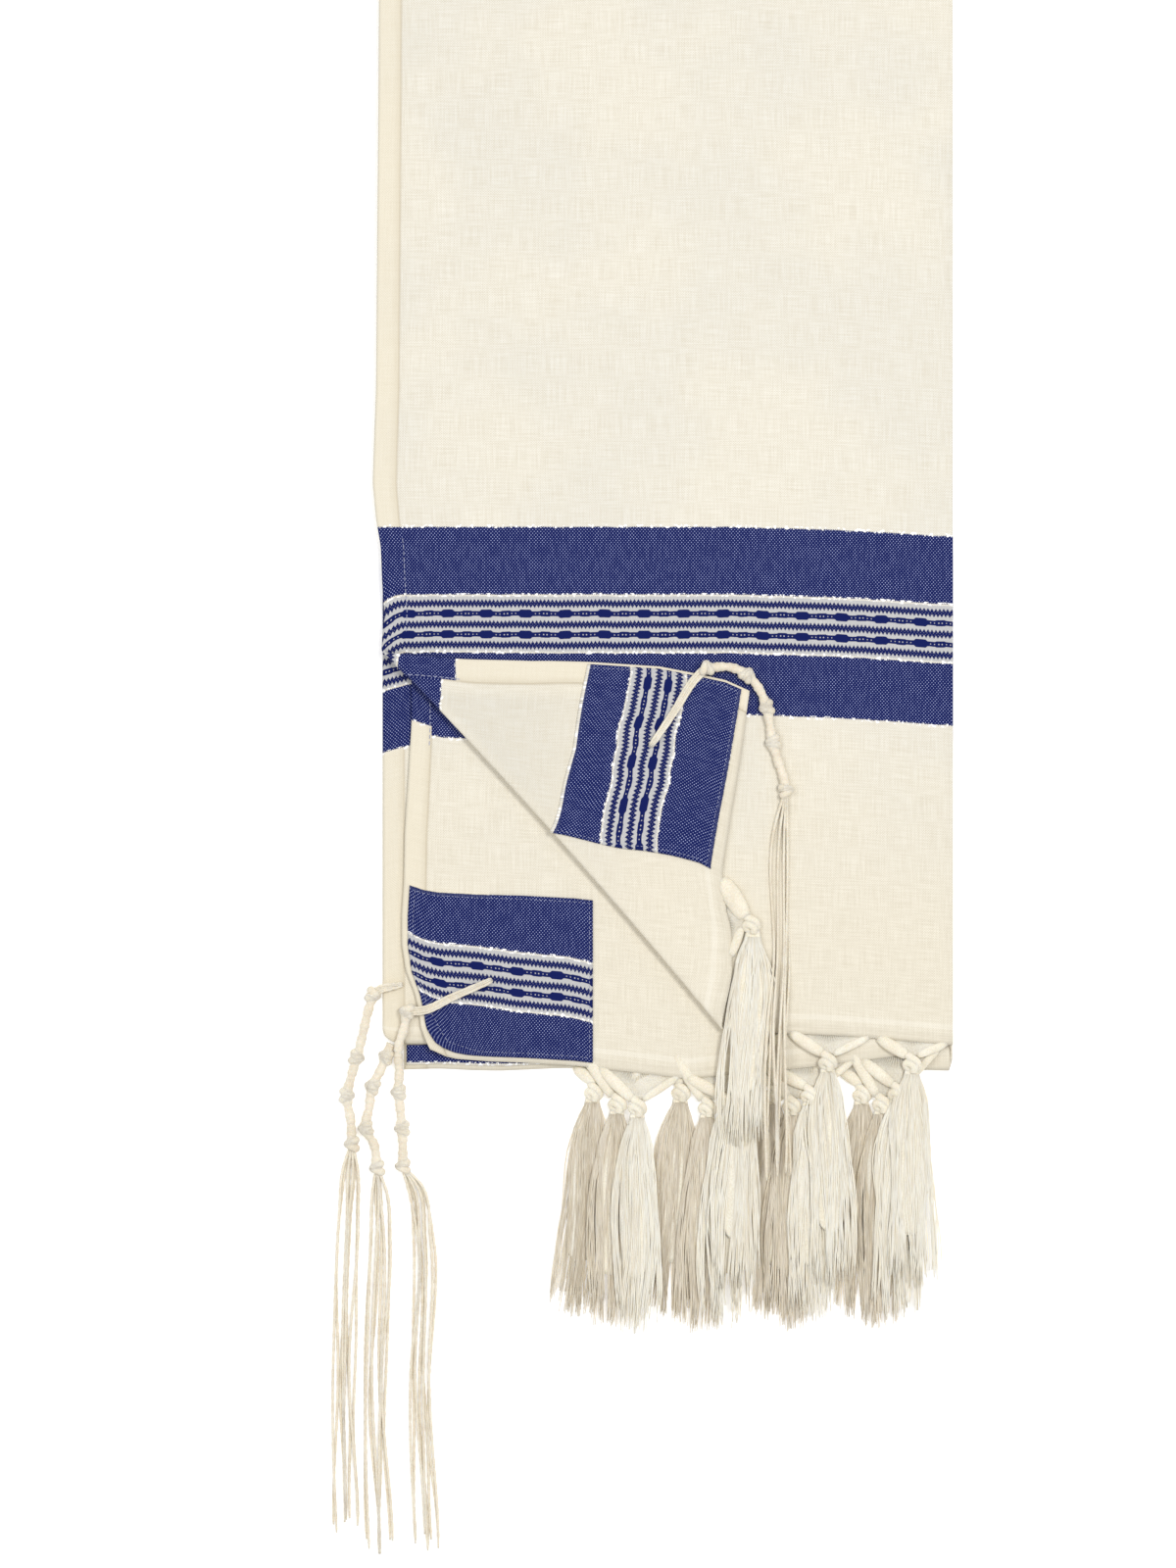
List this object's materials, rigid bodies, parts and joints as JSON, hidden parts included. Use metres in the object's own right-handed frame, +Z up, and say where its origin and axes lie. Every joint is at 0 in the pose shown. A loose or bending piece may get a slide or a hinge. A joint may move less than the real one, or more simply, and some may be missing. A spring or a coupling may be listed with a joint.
{
  "type": "tallit prayer shawl",
  "caption": "Wool prayer shawl with blue woven bands, folded flat in layers with one corner turned back, corner patches, knotted corner fringes and tasselled ends.",
  "frame": {"origin": "on the floor plane, below the middle of the folded shawl's bounding box", "axes": "+Y along the folded cloth up to its top fold, with the tassels at -Y; +X across it to the long right fold; +Z up"},
  "size_m": [0.3322, 1.2016, 0.0134],
  "materials": {
    "cloth": "matt cream handwoven wool with blue bands",
    "patch": "matt blue and cream woven band",
    "tassel": "matt beige wool warp ends",
    "fringe": "matt white wool cord"
  },
  "bodies": {
    "root": {"cloth_upper": "cloth", "cloth_lower_layers": "cloth", "patch_turned": "patch", "patch_inner": "patch", "patch_bottom": "patch", "tassel_top_1": "tassel", "tassel_top_2": "tassel", "tassel_top_3": "tassel", "tassel_top_4": "tassel", "tassel_inner_1": "tassel", "tassel_inner_2": "tassel", "tassel_inner_3": "tassel", "tassel_inner_4": "tassel", "tassel_third_1": "tassel", "tassel_third_2": "tassel", "tassel_third_3": "tassel", "tassel_third_4": "tassel", "tassel_bottom_1": "tassel", "tassel_bottom_2": "tassel", "tassel_bottom_3": "tassel", "tassel_bottom_4": "tassel", "fringe_top": "fringe", "fringe_inner": "fringe", "fringe_third": "fringe", "fringe_bottom": "fringe"}
  },
  "joints": []
}
